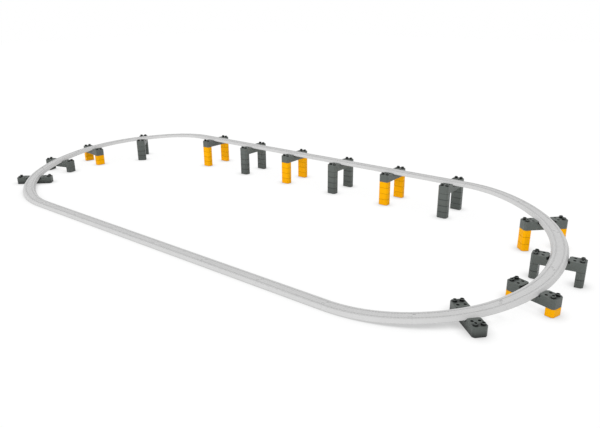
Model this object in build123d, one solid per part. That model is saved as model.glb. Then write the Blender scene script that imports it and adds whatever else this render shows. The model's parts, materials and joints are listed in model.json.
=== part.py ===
from build123d import *
import os
from math import cos, pi, radians, sin

os.makedirs("parts", exist_ok=True)

# Elevated oval for an electric train: a loop of clip-together road sections that
# climbs from the floor to a level stretch carried on block piers.
# Millimetres. +X runs along the straights, +Y points to the raised straight, +Z is up.
# The floor is z = 0 and the origin lies under the middle of the whole layout.

# ---- the loop -------------------------------------------------------------
curve_radius = 360.0        # to the middle of the road
curve_angle = 30.0          # turned by one curved section
curves_per_end = 6
straight_length = 188.0     # from joint to joint
straights_per_side = 6
joint_gap = 0.2             # left between two sections, so that each lifts out
touchdown_angle = curves_per_end * curve_angle      # the ramp takes up the whole end

# ---- the road's section ---------------------------------------------------
road_width = 40.0
road_top_width = 30.0
road_height = 8.2
road_skirt = 1.2            # upright foot of the sloping flanks
road_skin = 2.0
rail_gauge = 16.5
rail_width = 1.4
rail_height = 1.0
stations_per_curve = 7      # upright sections that a curved piece is drawn through

# ---- joints between sections ----------------------------------------------
peg_reach = 5.0             # from the joint to the middle of the peg's round head
peg_head = 4.8
peg_neck = 2.4
peg_offset = 3.7            # to one side of the middle, with the socket on the other
peg_bottom = 1.8
peg_drop = 0.6              # the peg's top lies this far below the road's
peg_clearance = 0.35
pad_length = 10.0           # solid block around peg and socket
pad_width = 18.0
pad_bottom = 1.6
pad_bite = 0.4              # how far the pad runs up into the skin

# ---- studs that hold blocks and beams together ------------------------------
stud_pitch = 16.0
stud_diameter = 9.4
stud_height = 4.8
stud_bore = 6.4             # the studs are open tubes
stud_bore_depth = 5.6       # reaches a little into the roof below
grip_clearance = 0.05       # between a stud and the fins that grip it
fin_width = 1.2
fin_height = 8.0
rim_setback = 0.8           # fins and webs stop short of the rim
web = 1.6

# ---- leg blocks -------------------------------------------------------------
block_width = 31.8          # along the road
block_depth = 18.8          # across the road
block_height = 19.2
block_wall = 1.8
block_roof = 2.4
corner_cut = 4.5            # cut corners at the outer end, in plan
edge_break = 0.4

# ---- beams ------------------------------------------------------------------
beam_length = 118.8
beam_height = 23.0
beam_wall = 2.0
beam_roof = 2.2
cradle_width = 43.0         # between the two raised ends, where the road lies
cradle_corner = 4.0         # cut corners of the raised ends beside the road
saddle_peak = 18.6
saddle_edge = 16.2          # the saddle falls away both ways from its peak
road_clearance = 0.2        # between the saddle's peak and the road's foot
hole_diameter = 7.0

# ---- where the piers stand --------------------------------------------------
# Level stretch: six equal piers along the back straight.
level_piers = 6
level_spacing = 203.6
level_shift = 7.4           # the row stands a little towards +X
level_blocks = 4
# Each ramp: degrees round the curve, degrees that the beam is turned, blocks a leg.
ramp_piers = [(47.1, -1.7, 3), (79.3, 3.0, 2), (104.2, 3.0, 1), (131.7, 1.0, 0)]

peg_top = road_height - peg_drop
pad_top = road_height - road_skin + pad_bite
half_straight = straights_per_side * straight_length / 2
leg_offset = (beam_length - block_depth) / 2
cradle_height = saddle_peak + road_clearance
back_reach = curve_radius + beam_length / 2
front_reach = curve_radius + road_width / 2
layout_shift = (front_reach - back_reach) / 2


def rise(blocks):
    """Height of the road's foot over a pier with so many blocks in each leg."""
    return blocks * block_height + cradle_height


def arc(angle):
    return curve_radius * radians(angle)


# ---- height of the road along a ramp ----------------------------------------
ramp_knots = [(0.0, rise(level_blocks))]
ramp_knots += [(arc(angle), rise(blocks)) for angle, turn, blocks in ramp_piers]
ramp_knots += [(arc(touchdown_angle), 0.0)]


def knot_slope(i):
    """Slope of the ramp at a knot: level at both ends, a smooth monotone one between."""
    if i == 0 or i == len(ramp_knots) - 1:
        return 0.0
    (s0, z0), (s1, z1), (s2, z2) = ramp_knots[i - 1:i + 2]
    before = (z1 - z0) / (s1 - s0)
    after = (z2 - z1) / (s2 - s1)
    return 2 * before * after / (before + after)


def ramp_height(s):
    """Height of the road's foot at a length s round the curve from the level stretch."""
    for i in range(len(ramp_knots) - 1):
        s0, z0 = ramp_knots[i]
        s1, z1 = ramp_knots[i + 1]
        if s <= s1:
            t = (s - s0) / (s1 - s0)
            run = s1 - s0
            m0 = knot_slope(i) * run
            m1 = knot_slope(i + 1) * run
            return (z0 * (2 * t**3 - 3 * t**2 + 1) + m0 * (t**3 - 2 * t**2 + t)
                    + z1 * (3 * t**2 - 2 * t**3) + m1 * (t**3 - t**2))
    return 0.0


# ---- road sections ------------------------------------------------------------
def road_outline():
    """Closed outline of the road, across it and up from its foot."""
    foot = road_width / 2
    top = road_top_width / 2
    lean = (foot - top) / (road_height - road_skirt)
    inner_foot = foot - road_skin
    ceiling = road_height - road_skin
    inner_top = inner_foot - lean * (ceiling - road_skirt)
    rail_in = rail_gauge / 2
    rail_out = rail_in + rail_width
    crown = road_height + rail_height
    right = [(rail_in, road_height), (rail_in, crown), (rail_out, crown), (rail_out, road_height),
             (top, road_height), (foot, road_skirt), (foot, 0), (inner_foot, 0),
             (inner_foot, road_skirt), (inner_top, ceiling)]
    left = [(-across, up) for across, up in reversed(right)]
    return right + left


def road_face(plane):
    outline = road_outline()
    return plane * make_face(Polyline(*outline, close=True))


def upright_plane(x, y, z, outward):
    """Upright plane across the road: its x points outward and its y points up."""
    return Plane(origin=(x, y, z), x_dir=outward, z_dir=outward.cross(Vector(0, 0, 1)))


def peg_outline(grow):
    """Peg seen from above, along +X from the joint, grown all round by grow."""
    neck = Pos(peg_reach / 2, 0) * Rectangle(peg_reach, peg_neck + 2 * grow)
    head = Pos(peg_reach, 0) * Circle(peg_head / 2 + grow)
    return neck + head


def end_pad():
    """Solid block under the skin at an end, which runs along -X from the joint."""
    back = pad_length + joint_gap / 2
    return Pos(-back + pad_length / 2, 0, pad_bottom) * Box(
        pad_length, pad_width, pad_top - pad_bottom, align=(Align.CENTER, Align.CENTER, Align.MIN))


def end_peg():
    peg = extrude(Pos(0, peg_offset, peg_bottom) * peg_outline(0), peg_top - peg_bottom)
    keep = Pos(-joint_gap / 2, 0, 0) * Box(
        2 * pad_length, pad_width, 2 * peg_top, align=(Align.MIN, Align.CENTER, Align.MIN))
    root = Pos(-joint_gap / 2 - peg_neck / 2, peg_offset, peg_bottom) * Box(
        peg_neck + joint_gap, peg_neck, pad_top - peg_bottom,
        align=(Align.CENTER, Align.CENTER, Align.MIN))
    return (peg & keep) + root


def end_socket():
    """What a neighbour's peg needs: the same outline turned back, right through."""
    outline = Pos(0, -peg_offset, -road_height) * Rot(0, 0, 180) * peg_outline(peg_clearance)
    return extrude(outline, 4 * road_height)


def finish_end(section, place):
    """Adds pad, peg and socket at an end; place puts the joint there, +X leading out."""
    section = section + place * end_pad()
    section = section - place * end_socket()
    return section + place * end_peg()


def straight_section(x, y, z):
    """Straight section whose middle is at x, y, with its foot at height z."""
    length = straight_length - joint_gap
    plane = upright_plane(x, y, z, Vector(0, 1, 0))
    body = extrude(road_face(plane), length / 2, both=True)
    half = straight_length / 2
    body = finish_end(body, Pos(x + half, y, z))
    return finish_end(body, Pos(x - half, y, z) * Rot(0, 0, 180))


def curve_section(index, side):
    """Curved section number index from the raised straight; side is 1 right, -1 left."""
    trim = joint_gap / 2 / curve_radius * 180 / pi
    start = index * curve_angle + trim
    stop = (index + 1) * curve_angle - trim
    faces = []
    for step in range(stations_per_curve):
        angle = start + (stop - start) * step / (stations_per_curve - 1)
        outward = Vector(side * sin(radians(angle)), cos(radians(angle)), 0)
        height = ramp_height(arc(angle))
        x = side * half_straight + curve_radius * outward.X
        faces.append(road_face(upright_plane(x, curve_radius * outward.Y, height, outward)))
    body = loft(faces)
    for angle, back in ((index * curve_angle, 180), ((index + 1) * curve_angle, 0)):
        x = side * (half_straight + curve_radius * sin(radians(angle)))
        y = curve_radius * cos(radians(angle))
        turn = -angle if side > 0 else 180 + angle
        place = Pos(x, y, ramp_height(arc(angle))) * Rot(0, 0, turn + back)
        body = finish_end(body, place)
    return body


# ---- leg blocks ---------------------------------------------------------------
def plan(near, far, near_cut, far_cut, inset=0.0):
    """Plan of a block or raised end: near and far are along +Y, corners cut by given lengths."""
    half = block_width / 2 - inset
    near += inset
    far -= inset
    ease = inset * (2 - 2**0.5)
    near_cut = max(near_cut - ease, 0.0)
    far_cut = max(far_cut - ease, 0.0)
    points = []
    for x, y, cut in ((half, near, near_cut), (half, far, -far_cut)):
        points += [(x - cut, y), (x, y + cut)] if cut > 0 else [(x, y + cut), (x + cut, y)]
    points += [(-x, y) for x, y in reversed(points)]
    unique = [p for i, p in enumerate(points) if p != points[i - 1]]
    return make_face(Polyline(*unique, close=True))


def stud_places(y):
    return [Pos(side * stud_pitch / 2, y, 0) for side in (-1, 1)]


def studs(y, z):
    stud = Cylinder(stud_diameter / 2, stud_height, align=(Align.CENTER, Align.CENTER, Align.MIN))
    rim = stud.edges().group_by(Axis.Z)[-1]
    stud = chamfer(rim, edge_break)
    return [Pos(0, 0, z) * place * stud for place in stud_places(y)]


def stud_bores(y, z):
    bore = Cylinder(stud_bore / 2, stud_bore_depth, align=(Align.CENTER, Align.CENTER, Align.MAX))
    return [Pos(0, 0, z + stud_height) * place * bore for place in stud_places(y)]


def grip(y, reach, ceiling):
    """Web between two studs and fins that grip them, up to the ceiling of the hollow."""
    middle = Pos(0, y, rim_setback) * Box(
        web, 2 * reach, ceiling - rim_setback, align=(Align.CENTER, Align.CENTER, Align.MIN))
    pieces = [middle]
    inner = stud_diameter / 2 + grip_clearance
    for place in stud_places(y):
        for side in (-1, 1):
            fin = Box(fin_width, reach - inner, fin_height,
                      align=(Align.CENTER, Align.CENTER, Align.MIN))
            pieces.append(place * Pos(0, side * (reach + inner) / 2, rim_setback) * fin)
    return pieces


def leg_block():
    """One leg block, its middle at the origin and its cut corners towards +Y."""
    half = block_depth / 2
    body = extrude(plan(-half, half, 0, corner_cut), block_height)
    rims = body.edges().group_by(Axis.Z)
    body = chamfer(rims[0] + rims[-1], edge_break)
    hollow_height = block_height - block_roof
    body = body - extrude(plan(-half, half, 0, corner_cut, block_wall), hollow_height)
    for piece in grip(0, half - block_wall + edge_break, hollow_height):
        body = body + piece
    body = body + studs(0, block_height)
    return body - stud_bores(0, block_height)


# ---- beams ----------------------------------------------------------------------
def raised_end(inset=0.0):
    return plan(cradle_width / 2, beam_length / 2, cradle_corner, corner_cut, inset)


def beam_end_hollow():
    return extrude(raised_end(beam_wall), beam_height - beam_roof)


def beam():
    """Beam along Y over its two legs, with its foot at z = 0."""
    ends = extrude(raised_end(), beam_height)
    ends = chamfer(ends.edges().group_by(Axis.Z)[-1], edge_break)
    half_saddle = cradle_width / 2 + cradle_corner
    half = block_width / 2
    roof = [(-half, 0), (-half, saddle_edge), (0, saddle_peak), (half, saddle_edge), (half, 0)]
    saddle = extrude(Plane.XZ * make_face(Polyline(*roof, close=True)), half_saddle, both=True)
    body = saddle + ends + Rot(0, 0, 180) * ends
    middle = Box(block_width - 2 * beam_wall, 2 * half_saddle + 2 * beam_wall, saddle_edge - beam_roof,
                 align=(Align.CENTER, Align.CENTER, Align.MIN))
    body = body - middle - beam_end_hollow() - Rot(0, 0, 180) * beam_end_hollow()
    holes = [place * Cylinder(hole_diameter / 2, 4 * beam_height)
             for place in stud_places(leg_offset - stud_pitch)]
    bores = stud_bores(leg_offset, beam_height)
    for turn in (0, 180):
        body = body + [Rot(0, 0, turn) * piece for piece in beam_end_details()]
        body = body - [Rot(0, 0, turn) * cut for cut in holes + bores]
    return body


def beam_end_details():
    """Studs on top, and below them the grip and the rib that stands on the block's edge."""
    ceiling = beam_height - beam_roof
    rib_face = leg_offset - block_depth / 2
    rib = Pos(0, rib_face + web / 2, 0) * Box(
        block_width - 2 * beam_wall + edge_break, web, ceiling + edge_break,
        align=(Align.CENTER, Align.CENTER, Align.MIN))
    reach = block_depth / 2 - beam_wall + edge_break
    return studs(leg_offset, beam_height) + grip(leg_offset, reach, ceiling) + [rib]


# ---- piers ------------------------------------------------------------------------
block_shape = leg_block()
beam_shape = beam()


def pier(number, x, y, turn, blocks):
    """Nodes of a pier: its beam, and the blocks of both legs as separate solids."""
    place = Pos(x, y + layout_shift, 0) * Rot(0, 0, turn)
    nodes[f"beam_{number:02d}"] = place * Pos(0, 0, blocks * block_height) * beam_shape
    if blocks:
        legs = []
        for leg in (0, 180):
            for course in range(blocks):
                spot = Rot(0, 0, leg) * Pos(0, leg_offset, course * block_height)
                legs.append(place * spot * block_shape)
        nodes[f"leg_blocks_{number:02d}"] = Compound(children=legs)


nodes = {}
level_count = len(ramp_piers)
for side in (-1, 1):
    for order, (angle, turn, blocks) in enumerate(ramp_piers):
        number = level_count - order if side < 0 else level_count + level_piers + 1 + order
        x = side * (half_straight + curve_radius * sin(radians(angle)))
        y = curve_radius * cos(radians(angle))
        pier(number, x, y, -side * (angle + turn), blocks)
for order in range(level_piers):
    x = level_shift + (order - (level_piers - 1) / 2) * level_spacing
    pier(level_count + 1 + order, x, curve_radius, 0, level_blocks)

# ---- the loop of road ---------------------------------------------------------------
shift = Pos(0, layout_shift, 0)
for order in range(straights_per_side):
    x = (order + 0.5) * straight_length - half_straight
    nodes[f"straight_back_{order + 1}"] = shift * straight_section(x, curve_radius, rise(level_blocks))
    nodes[f"straight_front_{order + 1}"] = shift * straight_section(x, -curve_radius, 0)
for name, side in (("right", 1), ("left", -1)):
    for index in range(curves_per_end):
        nodes[f"curve_{name}_{index + 1}"] = shift * curve_section(index, side)

for name, shape in nodes.items():
    shape.label = name
    export_step(shape, f"parts/{name}.step")
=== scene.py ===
import json
import math

import bmesh
import bpy
from mathutils import Matrix, Vector
from mathutils.bvhtree import BVHTree


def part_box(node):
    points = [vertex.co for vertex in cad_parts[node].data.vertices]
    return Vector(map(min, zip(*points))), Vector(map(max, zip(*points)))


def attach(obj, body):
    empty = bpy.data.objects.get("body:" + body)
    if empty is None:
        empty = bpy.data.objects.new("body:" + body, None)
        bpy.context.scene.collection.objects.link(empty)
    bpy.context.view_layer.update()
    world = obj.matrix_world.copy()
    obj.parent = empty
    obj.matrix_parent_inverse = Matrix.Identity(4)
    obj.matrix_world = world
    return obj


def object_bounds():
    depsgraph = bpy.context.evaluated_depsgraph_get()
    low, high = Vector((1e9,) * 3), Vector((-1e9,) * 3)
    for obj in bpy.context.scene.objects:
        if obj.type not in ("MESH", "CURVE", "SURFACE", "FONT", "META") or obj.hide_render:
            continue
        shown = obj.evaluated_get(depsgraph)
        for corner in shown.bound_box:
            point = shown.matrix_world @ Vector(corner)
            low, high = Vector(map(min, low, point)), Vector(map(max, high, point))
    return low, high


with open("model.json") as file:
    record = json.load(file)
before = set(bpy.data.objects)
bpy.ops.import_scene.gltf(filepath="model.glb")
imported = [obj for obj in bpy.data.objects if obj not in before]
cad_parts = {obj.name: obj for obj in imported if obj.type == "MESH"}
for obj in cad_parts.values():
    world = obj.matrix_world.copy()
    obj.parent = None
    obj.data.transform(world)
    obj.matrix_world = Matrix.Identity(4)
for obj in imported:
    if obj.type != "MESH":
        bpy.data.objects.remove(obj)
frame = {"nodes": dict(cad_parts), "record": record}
cad_box = [list(corner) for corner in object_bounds()]

# ---- road sections ----------------------------------------------------------------
# Hollow sections of light-grey plastic road with two moulded rails, clipped together at
# their ends by a peg and a socket each way. The plastic is matt, with a faint grain from
# the mould and edges a little paler, partly worn by handling and partly a painted highlight.
road_grey = (0.549, 0.549, 0.548, 1.0)
# paler edge colour: partly worn plastic, partly a painted highlight
road_grey_worn_and_highlit = (0.59, 0.59, 0.588, 1.0)
section_names = [name for name in frame["nodes"] if name.startswith(("straight_", "curve_"))]


def link(material, source, target):
    material.node_tree.links.new(source, target)


def node(material, kind, **settings):
    """A new shader node, in a material's node tree or the sky's, with its settings."""
    made = material.node_tree.nodes.new(kind)
    for key, value in settings.items():
        setattr(made, key, value)
    return made


def spread(material, value, start, end, low, high):
    """Spreads a value from start to end over low to high."""
    made = node(material, "ShaderNodeMapRange")
    ends = {"From Min": start, "From Max": end, "To Min": low, "To Max": high}
    for name, setting in ends.items():
        made.inputs[name].default_value = setting
    link(material, value, made.inputs["Value"])
    return made.outputs["Result"]


def noise(material, place, scale, detail, low, high):
    """Noise on the plastic's own coordinates, spread over low to high."""
    usual_least, usual_most = 0.3, 0.7
    pattern = node(material, "ShaderNodeTexNoise")
    pattern.inputs["Scale"].default_value = scale
    pattern.inputs["Detail"].default_value = detail
    link(material, place, pattern.inputs["Vector"])
    return spread(material, pattern.outputs["Fac"], usual_least, usual_most, low, high)


def worn_and_highlit_edges(material, reach):
    """How far a spot is an edge: 0 on a flat face, 1 on a sharp edge within reach."""
    sharp = 0.75              # the likeness of the rounded and the flat normal there
    rounded = node(material, "ShaderNodeBevel", samples=4)
    rounded.inputs["Radius"].default_value = reach
    flat = node(material, "ShaderNodeNewGeometry")
    likeness = node(material, "ShaderNodeVectorMath", operation="DOT_PRODUCT")
    link(material, rounded.outputs["Normal"], likeness.inputs[0])
    link(material, flat.outputs["True Normal"], likeness.inputs[1])
    return spread(material, likeness.outputs["Value"], 1.0, sharp, 0.0, 1.0)


def moulded_plastic(name, colour, worn_and_highlit_colour, roughness, gloss, grain):
    """Moulded toy plastic: mottled a little, grained, and paler along edges, partly worn by
    handling and partly a painted highlight.
    """
    mottle_scale, rub_and_highlight_scale, polish_scale, grain_scale = 35.0, 260.0, 90.0, 1500.0
    rubbed_and_highlit_edge = 0.0005
    grain_depth = 0.0002
    uneven_polish = 0.06
    material = bpy.data.materials.new(name)
    material.use_nodes = True
    shader = material.node_tree.nodes["Principled BSDF"]
    shader.inputs["Specular IOR Level"].default_value = gloss
    place = node(material, "ShaderNodeTexCoord").outputs["Object"]

    mottle = node(material, "ShaderNodeHueSaturation", name="mottle")
    mottle.inputs["Color"].default_value = colour
    clouds = noise(material, place, mottle_scale, detail=3.0, low=0.985, high=1.015)
    link(material, clouds, mottle.inputs["Value"])
    # edges made paler: partly worn by handling, partly a painted highlight
    rubbed_and_highlit = node(material, "ShaderNodeMath", operation="MULTIPLY")
    link(material, worn_and_highlit_edges(material, rubbed_and_highlit_edge), rubbed_and_highlit.inputs[0])
    rubs_and_highlights = noise(material, place, rub_and_highlight_scale, detail=4.0, low=0.2, high=1.0)
    link(material, rubs_and_highlights, rubbed_and_highlit.inputs[1])
    wear_and_highlight = node(material, "ShaderNodeMix", data_type="RGBA")
    link(material, rubbed_and_highlit.outputs["Value"], wear_and_highlight.inputs["Factor"])
    link(material, mottle.outputs["Color"], wear_and_highlight.inputs["A"])
    wear_and_highlight.inputs["B"].default_value = worn_and_highlit_colour
    link(material, wear_and_highlight.outputs["Result"], shader.inputs["Base Color"])

    polish = noise(material, place, polish_scale, detail=2.0,
                   low=roughness - uneven_polish, high=roughness + uneven_polish)
    link(material, polish, shader.inputs["Roughness"])
    bump = node(material, "ShaderNodeBump")
    bump.inputs["Strength"].default_value = grain
    bump.inputs["Distance"].default_value = grain_depth
    grains = noise(material, place, grain_scale, detail=2.0, low=0.0, high=1.0)
    link(material, grains, bump.inputs["Height"])
    link(material, bump.outputs["Normal"], shader.inputs["Normal"])
    return material


def dim(material, brightness):
    """Dims a plastic's colour by a brightness of 0 to 1."""
    colour = material.node_tree.nodes["Principled BSDF"].inputs["Base Color"]
    dimmed = node(material, "ShaderNodeMix", data_type="RGBA")
    dimmed.inputs["A"].default_value = (0, 0, 0, 1)
    link(material, colour.links[0].from_socket, dimmed.inputs["B"])
    link(material, brightness, dimmed.inputs["Factor"])
    link(material, dimmed.outputs["Result"], colour)


def place_parts(material):
    """The plastic's own X, Y and Z, as the outputs of one node."""
    split = node(material, "ShaderNodeSeparateXYZ")
    link(material, node(material, "ShaderNodeTexCoord").outputs["Object"], split.inputs["Vector"])
    return split.outputs


def paint_shade_low(material, height, lowest):
    """Paints shade on a plastic below a height, darker down to lowest at the floor."""
    dim(material, spread(material, place_parts(material)["Z"], 0.0, height, lowest, 1.0))


def dress(node_name, material):
    frame["nodes"][node_name].material_slots[0].material = material


road_plastic = moulded_plastic("road_plastic", road_grey, road_grey_worn_and_highlit,
                               roughness=0.55, gloss=0.40, grain=0.12)
# painted shade along the road's foot, darker towards the floor
paint_shade_low(road_plastic, height=0.003, lowest=0.85)
for name in section_names:
    dress(name, road_plastic)

# ---- sleepers and rail chairs -----------------------------------------------------
# Low sleepers stand out of the road's top across both rails, and small chairs clasp each
# rail. They are moulded in one with their section, so they lift off with it.
sleeper_pitch = 0.0067
sleeper_width = 0.0036
sleeper_length = 0.0262
sleeper_rise = 0.0003
sleeper_sunk = 0.0003
sleeper_ease = 0.00012
chair_size = (0.0020, 0.0009, 0.0005)
chair_ease = 0.00015
rail_inner_face = 0.00825
rail_outer_face = 0.00965
rail_line = 0.0089            # the rails' middles lie this far from the road's
# the painted shade beside the rails: how far it reaches and how dark it gets
rail_shade_reach = 0.0019
rail_painted_shade = 0.87
joint_clear = 0.0085          # no sleeper over the peg and socket
probe = 0.003                 # half the length over which the road's slope is read
straights_a_side = sum(name.startswith("straight_back_") for name in section_names)
curves_a_side = sum(name.startswith("curve_right_") for name in section_names)


def middle(node_name):
    low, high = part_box(node_name)
    return (low + high) / 2


back_y = middle("straight_back_1").y
front_y = middle("straight_front_1").y
road_radius = (back_y - front_y) / 2
bend_y = (back_y + front_y) / 2
section_length = middle("straight_back_2").x - middle("straight_back_1").x
bend_x = straights_a_side * section_length / 2
bend_angle = math.pi / curves_a_side


def maths(material, operation, *values):
    """A Math node's result, from values that are numbers or other nodes' results."""
    made = node(material, "ShaderNodeMath", operation=operation)
    for value, target in zip(values, made.inputs):
        if isinstance(value, float):
            target.default_value = value
        else:
            link(material, value, target)
    return made.outputs["Value"]


def paint_shade_beside_rails(material):
    """Paints shade on the road's top in two lines along the rails."""
    place = place_parts(material)
    past_straight = maths(material, "MAXIMUM", maths(
        material, "SUBTRACT", maths(material, "ABSOLUTE", place["X"]), bend_x), 0.0)
    off_axis = maths(material, "SUBTRACT", place["Y"], bend_y)
    out = maths(material, "SQRT", maths(
        material, "ADD", maths(material, "POWER", past_straight, 2.0),
        maths(material, "MULTIPLY", off_axis, off_axis)))
    across = maths(material, "ABSOLUTE", maths(material, "SUBTRACT", out, road_radius))
    away = maths(material, "ABSOLUTE", maths(material, "SUBTRACT", across, rail_line))
    dim(material, spread(material, away, 0.0, rail_shade_reach, rail_painted_shade, 1.0))


# painted shade in two lines beside the rails
paint_shade_beside_rails(road_plastic)


def block_part(bm, size, centre, ease):
    """A small moulded block with its upright and top edges eased."""
    place = Matrix.Translation(centre) @ Matrix.Diagonal((*size, 1))
    made = bmesh.ops.create_cube(bm, matrix=place)
    top = centre[2] + size[2] / 2
    edges = {edge for vertex in made["verts"] for edge in vertex.link_edges
             if max(end.co.z for end in edge.verts) > top - ease}
    bmesh.ops.bevel(bm, geom=list(edges), offset=ease, segments=1, affect="EDGES", profile=0.5,
                    material=-1)


def sleeper_with_chairs():
    """One sleeper across the rails, its foot a little way into the road, as a mesh."""
    bm = bmesh.new()
    height = sleeper_rise + sleeper_sunk
    size = (sleeper_width, sleeper_length, height)
    block_part(bm, size, (0, 0, height / 2 - sleeper_sunk), sleeper_ease)
    along, across, tall = chair_size
    for face, way in ((rail_inner_face, -1), (rail_outer_face, 1)):
        for side in (-1, 1):
            spot = (0, side * (face + way * across / 2), sleeper_rise + tall / 2 - sleeper_sunk / 2)
            block_part(bm, (along, across, tall + sleeper_sunk), spot, chair_ease)
    mesh = bpy.data.meshes.new("sleeper")
    bm.to_mesh(mesh)
    bm.free()
    return mesh


def section_line(name):
    """Gives a section's length and a function from a length along it to a plan point."""
    family, order = name.rsplit("_", 1)
    if family.startswith("straight"):
        centre = middle(name)
        return section_length, lambda s: Vector((centre.x + s - section_length / 2, centre.y))
    side = 1 if family == "curve_right" else -1
    start = (int(order) - 1) * bend_angle

    def on_bend(s):
        angle = start + s / road_radius
        return Vector((side * (bend_x + road_radius * math.sin(angle)),
                       bend_y + road_radius * math.cos(angle)))
    return road_radius * bend_angle, on_bend


def road_surface(name):
    """Gives a function from a plan point to the point on the section's top there."""
    road = frame["nodes"][name].data
    tree = BVHTree.FromPolygons([v.co for v in road.vertices], [p.vertices for p in road.polygons])
    above = cad_box[1][2] + probe

    def on_top(point):
        return tree.ray_cast(Vector((*point, above)), Vector((0, 0, -1)))[0]
    return on_top


sleeper_mesh = sleeper_with_chairs()
for name in section_names:
    length, line = section_line(name)
    on_top = road_surface(name)
    count = int((length - 2 * joint_clear - sleeper_width) / sleeper_pitch) + 1
    bm = bmesh.new()
    for order in range(count):
        s = length / 2 + (order - (count - 1) / 2) * sleeper_pitch
        along = (on_top(line(s + probe)) - on_top(line(s - probe))).normalized()
        across = Vector((0, 0, 1)).cross(along).normalized()
        turn = Matrix((along, across, along.cross(across))).transposed().to_4x4()
        bm.from_mesh(sleeper_mesh)
        bm.verts.ensure_lookup_table()
        fresh = bm.verts[-len(sleeper_mesh.vertices):]
        bmesh.ops.transform(bm, matrix=Matrix.Translation(on_top(line(s))) @ turn, verts=fresh)
    mesh = bpy.data.meshes.new(name + "_sleepers")
    bm.to_mesh(mesh)
    bm.free()
    mesh.materials.append(road_plastic)
    sleepers = bpy.data.objects.new(name + "_sleepers", mesh)
    bpy.context.scene.collection.objects.link(sleepers)
    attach(sleepers, name)

# ---- beams ------------------------------------------------------------------------
# A dark-grey moulded beam lies across each pier, with a raised end and two tubular studs
# each side of the road. It clips down on the leg blocks or stands on the floor.
beam_grey = (0.104, 0.117, 0.109, 1.0)
# paler edge colour: partly worn plastic, partly a painted highlight
beam_grey_worn_and_highlit = (0.135, 0.147, 0.139, 1.0)
painted_shade_height = 0.06         # painted shade dims the plastic below this


def paint_shade_in_hollows(material, reach, closed, open_air, darkest, alone):
    """Paints shade on a plastic, down to darkest where the piece itself, or anything near, closes
    it in.
    """
    openness = node(material, "ShaderNodeAmbientOcclusion", samples=16, only_local=alone)
    openness.inputs["Distance"].default_value = reach
    dim(material, spread(material, openness.outputs["AO"], closed, open_air, darkest, 1.0))


beam_plastic = moulded_plastic("beam_plastic", beam_grey, beam_grey_worn_and_highlit,
                               roughness=0.42, gloss=0.30, grain=0.06)
# painted shade in bores and studs, and where the road, blocks and floor close the beam in
paint_shade_in_hollows(beam_plastic, reach=0.012, closed=0.55, open_air=0.95, darkest=0.02, alone=True)
paint_shade_in_hollows(beam_plastic, reach=0.020, closed=0.45, open_air=0.93, darkest=0.05, alone=False)
# painted shade on the beam's lower part, darker towards the floor
paint_shade_low(beam_plastic, painted_shade_height, lowest=0.72)
for name in frame["nodes"]:
    if name.startswith("beam_"):
        dress(name, beam_plastic)

# ---- leg blocks -------------------------------------------------------------------
# Hollow blocks with two studs, stacked under both ends of a beam. A pier's blocks are of
# one colour, orange or dark grey, and its tint differs a little from course to course.
course_height = 0.0192
seam_shade_reach = 0.0020           # painted shade reaches this far to either side of a seam
tint_patch = 0.16             # blocks of one course over one such square share a tint
most_tint = 0.04
block_orange = (0.935, 0.428, 0.0, 1.0)
# paler edge colour: partly worn plastic, partly a painted highlight
block_orange_worn_and_highlit = (0.96, 0.45, 0.003, 1.0)


def tint_by_course(material, most):
    """Gives each course of blocks its own brightness, up to most either way."""
    mottle = material.node_tree.nodes["mottle"]
    place = node(material, "ShaderNodeTexCoord").outputs["Object"]
    course = node(material, "ShaderNodeVectorMath", operation="SNAP")
    course.inputs[1].default_value = (tint_patch, tint_patch, course_height)
    link(material, place, course.inputs[0])
    draw = node(material, "ShaderNodeTexWhiteNoise")
    link(material, course.outputs["Vector"], draw.inputs["Vector"])
    both = node(material, "ShaderNodeMath", operation="MULTIPLY")
    link(material, mottle.inputs["Value"].links[0].from_socket, both.inputs[0])
    tint = spread(material, draw.outputs["Value"], 0.0, 1.0, 1 - most, 1 + most)
    link(material, tint, both.inputs[1])
    link(material, both.outputs["Value"], mottle.inputs["Value"])


def paint_shade_at_seams(material, darkest):
    """Paints shade on a plastic beside the seams between courses."""
    away = maths(material, "PINGPONG", place_parts(material)["Z"], course_height / 2)
    dim(material, spread(material, away, 0.0, seam_shade_reach, darkest, 1.0))


def block_finish(slot, colour, worn_and_highlit_colour, gloss, hollow, seam, foot):
    """A leg block's plastic, and how dark its painted shade gets in a hollow, at a seam and at its
    foot.
    """
    plastic = moulded_plastic(slot + "_block_plastic", colour, worn_and_highlit_colour,
                              roughness=0.42, gloss=gloss, grain=0.06)
    tint_by_course(plastic, most_tint)
    # painted shade in hollows, and where the beam and floor close the block in
    paint_shade_in_hollows(plastic, reach=0.010, closed=0.3, open_air=0.7, darkest=hollow, alone=False)
    # painted shade in the seams between courses
    paint_shade_at_seams(plastic, darkest=seam)
    # painted shade on the block's lower part, darker towards the floor
    paint_shade_low(plastic, painted_shade_height, lowest=foot)
    return plastic


block_plastic = {
    "dark_grey": block_finish("dark_grey", beam_grey, beam_grey_worn_and_highlit,
                              gloss=0.28, hollow=0.3, seam=0.35, foot=0.72),
    "orange": block_finish("orange", block_orange, block_orange_worn_and_highlit,
                           gloss=0.05, hollow=0.6, seam=0.7, foot=0.94)}
for part in frame["record"]["subparts"]:
    if part["node"].startswith("leg_blocks_"):
        dress(part["node"], block_plastic[part["material_slot"]])

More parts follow.
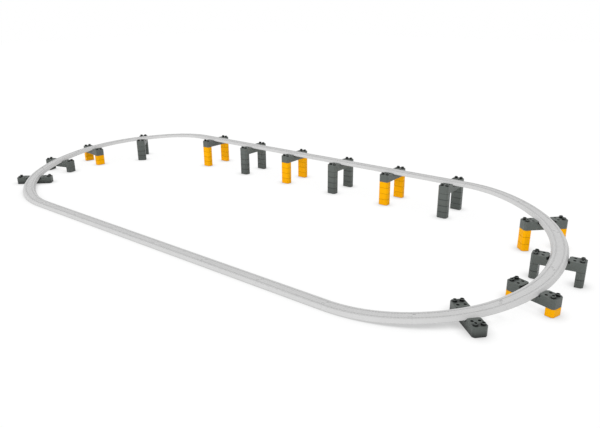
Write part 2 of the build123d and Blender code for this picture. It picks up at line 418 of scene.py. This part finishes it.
# ---- floor and light --------------------------------------------------------------
# A plain white floor under an even pale sky, with one broad soft lamp from the front.
# The floor's shade is mostly painted, at the object's feet and where the road lies low over it.
floor_reach = 9.0
floor_drop = 0.0002           # keeps the floor clear of the feet that stand on it
floor_white = 0.92
contact_reach = 0.030         # how near a thing must be for painted shade on the floor beside it
painted_contact_shade = 0.55          # the floor's painted brightness where it is closed in
clear_shade = 1.005           # and where it is in open air
floor_closed = 0.38           # how open the floor is where it counts as closed in
floor_open_air = 0.97         # and as in open air
shadow_share = 0.10           # share of the floor's look that the sky and the lamp light
sky_strength = 0.74
lamp_strength = 1.35
lamp_width = math.radians(60)
lamp_height = math.radians(54)


def floor_finish():
    """White floor with painted shade at the object's feet, but plain white to the eye."""
    material = bpy.data.materials.new("white_floor")
    material.use_nodes = True
    material.node_tree.nodes.clear()
    bounce = node(material, "ShaderNodeBsdfDiffuse")
    bounce.inputs["Color"].default_value = (floor_white, floor_white, floor_white, 1)
    shadowed = node(material, "ShaderNodeBsdfDiffuse")
    shadowed.inputs["Color"].default_value = (1, 1, 1, 1)
    glow = node(material, "ShaderNodeEmission")
    # painted contact shade: the floor's glow is dimmed where things close it in
    openness = node(material, "ShaderNodeAmbientOcclusion", samples=16)
    openness.inputs["Distance"].default_value = contact_reach
    shade = spread(material, openness.outputs["AO"], floor_closed, floor_open_air,
                   painted_contact_shade, clear_shade)
    link(material, shade, glow.inputs["Strength"])
    seen = node(material, "ShaderNodeMixShader")
    seen.inputs[0].default_value = shadow_share
    link(material, glow.outputs[0], seen.inputs[1])
    link(material, shadowed.outputs[0], seen.inputs[2])
    choice = node(material, "ShaderNodeMixShader")
    rays = node(material, "ShaderNodeLightPath")
    link(material, rays.outputs["Is Camera Ray"], choice.inputs[0])
    link(material, bounce.outputs[0], choice.inputs[1])
    link(material, seen.outputs[0], choice.inputs[2])
    out = node(material, "ShaderNodeOutputMaterial")
    link(material, choice.outputs[0], out.inputs["Surface"])
    return material


bm = bmesh.new()
bmesh.ops.create_grid(bm, x_segments=1, y_segments=1, size=floor_reach,
                      matrix=Matrix.Translation((0, 0, -floor_drop)))
floor_mesh = bpy.data.meshes.new("floor")
bm.to_mesh(floor_mesh)
bm.free()
floor_mesh.materials.append(floor_finish())
floor = bpy.data.objects.new("floor", floor_mesh)
bpy.context.scene.collection.objects.link(floor)

sky = bpy.data.worlds.new("sky")
bpy.context.scene.world = sky
sky.use_nodes = True
glow = sky.node_tree.nodes["Background"]
glow.inputs["Color"].default_value = (1, 1, 1, 1)
seen_by_camera = node(sky, "ShaderNodeLightPath").outputs["Is Camera Ray"]
link(sky, spread(sky, seen_by_camera, 0.0, 1.0, sky_strength, 1.0), glow.inputs["Strength"])

lamp_data = bpy.data.lights.new("lamp", "SUN")
lamp_data.energy = lamp_strength
lamp_data.angle = lamp_width
lamp_data.use_shadow = False
lamp = bpy.data.objects.new("lamp", lamp_data)
bpy.context.scene.collection.objects.link(lamp)
lamp.rotation_euler = (math.pi / 2 - lamp_height, 0, 0)

# ---- camera -----------------------------------------------------------------------
# Stands in front of the layout and beyond its right end, about as high as the eye of a
# child who sits beside it, and looks down across it.
camera_place = Vector((1.2228, -1.3034, 0.6149))
camera_turn = 0.6669          # radians to the left of straight ahead
camera_dip = 0.3422
camera_roll = -0.0069
camera_lens = 35.56
camera_sight = 50             # how far it sees

bpy.context.scene.view_settings.view_transform = "Standard"
camera_data = bpy.data.cameras.new("camera")
camera_data.lens = camera_lens
camera_data.clip_end = camera_sight
camera = bpy.data.objects.new("camera", camera_data)
bpy.context.scene.collection.objects.link(camera)
camera.matrix_world = (Matrix.Translation(camera_place) @ Matrix.Rotation(camera_turn, 4, "Z")
                       @ Matrix.Rotation(math.pi / 2 - camera_dip, 4, "X")
                       @ Matrix.Rotation(camera_roll, 4, "Z"))
bpy.context.scene.camera = camera
